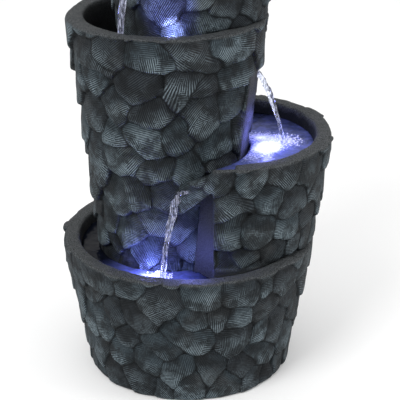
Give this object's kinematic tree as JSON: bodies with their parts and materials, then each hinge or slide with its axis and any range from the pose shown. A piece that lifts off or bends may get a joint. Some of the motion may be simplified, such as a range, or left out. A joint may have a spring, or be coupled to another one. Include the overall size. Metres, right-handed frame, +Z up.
{
  "type": "tiered water fountain",
  "caption": "Tiered garden water fountain: tapered stone-look bowls spiral up a column, with a hidden pump, riser hose and lights under the water.",
  "frame": {"origin": "middle of the basin's flat underside, on the ground", "axes": "+Z up; front towards -Y, where the spouts of the top and second bowls pour; the second bowl is to +X"},
  "size_m": [0.4022, 0.378, 0.735],
  "materials": {
    "cast_stone": "textured, dry-brushed",
    "screw_brass": "satin",
    "black_rubber": "matt",
    "black_plastic": "satin",
    "blue_plastic": "gloss",
    "white_plastic": "satin",
    "shaft_ceramic": "polished",
    "clear_hose": "gloss",
    "clamp_steel": "brushed",
    "led_board": "satin",
    "led_lens": "clear"
  },
  "bodies": {
    "fountain": {"basin": "cast_stone", "basin_light_board": "led_board", "basin_light_bracket": "cast_stone", "basin_light_gasket": "black_rubber", "basin_light_housing": "black_plastic", "basin_light_lens": "led_lens", "cable_gland_body": "black_plastic", "cable_gland_cap": "black_plastic", "cable_gland_locknut": "black_plastic", "cable_gland_seal": "black_rubber", "door_inserts": "screw_brass", "hose_clamps": "clamp_steel", "impeller_cover": "black_plastic", "nozzle_fitting": "black_plastic", "nozzle_gasket": "black_rubber", "nozzle_nut": "black_plastic", "outlet_barb": "black_plastic", "pump_housing": "black_plastic", "riser_grommet": "black_rubber", "riser_hose": "clear_hose", "rotor_bushings": "black_rubber", "rotor_shaft": "shaft_ceramic", "second_bowl": "cast_stone", "second_light_board": "led_board", "second_light_gasket": "black_rubber", "second_light_housing": "black_plastic", "second_light_lens": "led_lens", "suction_cups": "black_rubber", "third_bowl": "cast_stone", "third_light_board": "led_board", "third_light_gasket": "black_rubber", "third_light_housing": "black_plastic", "third_light_lens": "led_lens", "third_light_stand": "black_rubber", "top_bowl": "cast_stone"},
    "pump_rotor": {"pump_rotor": "white_plastic"},
    "flow_dial": {"flow_dial": "blue_plastic"},
    "intake_cover": {"intake_cover": "black_plastic"},
    "access_door": {"access_door": "cast_stone", "door_screws": "screw_brass"},
    "drain_plug": {"drain_plug": "black_rubber"}
  },
  "joints": [
    {"name": "rotor_spin", "type": "hinge", "parent": "fountain", "child": "pump_rotor", "pos_m": [-0.012, 0, 0.048], "axis": [0, 1, 0], "continuous": true},
    {"name": "strainer_pull", "type": "slide", "parent": "fountain", "child": "intake_cover", "axis": [0, -1, 0], "range_m": [0, 0.02]},
    {"name": "flow_dial_turn", "type": "hinge", "parent": "intake_cover", "child": "flow_dial", "pos_m": [-0.012, -0.036, 0.048], "axis": [0, 1, 0], "range_deg": [0, 45]},
    {"name": "access_door_pull", "type": "slide", "parent": "fountain", "child": "access_door", "axis": [0, 1, 0], "range_m": [0, 0.06]},
    {"name": "drain_plug_pull", "type": "slide", "parent": "fountain", "child": "drain_plug", "axis": [0, 1, 0], "range_m": [0, 0.06]}
  ]
}
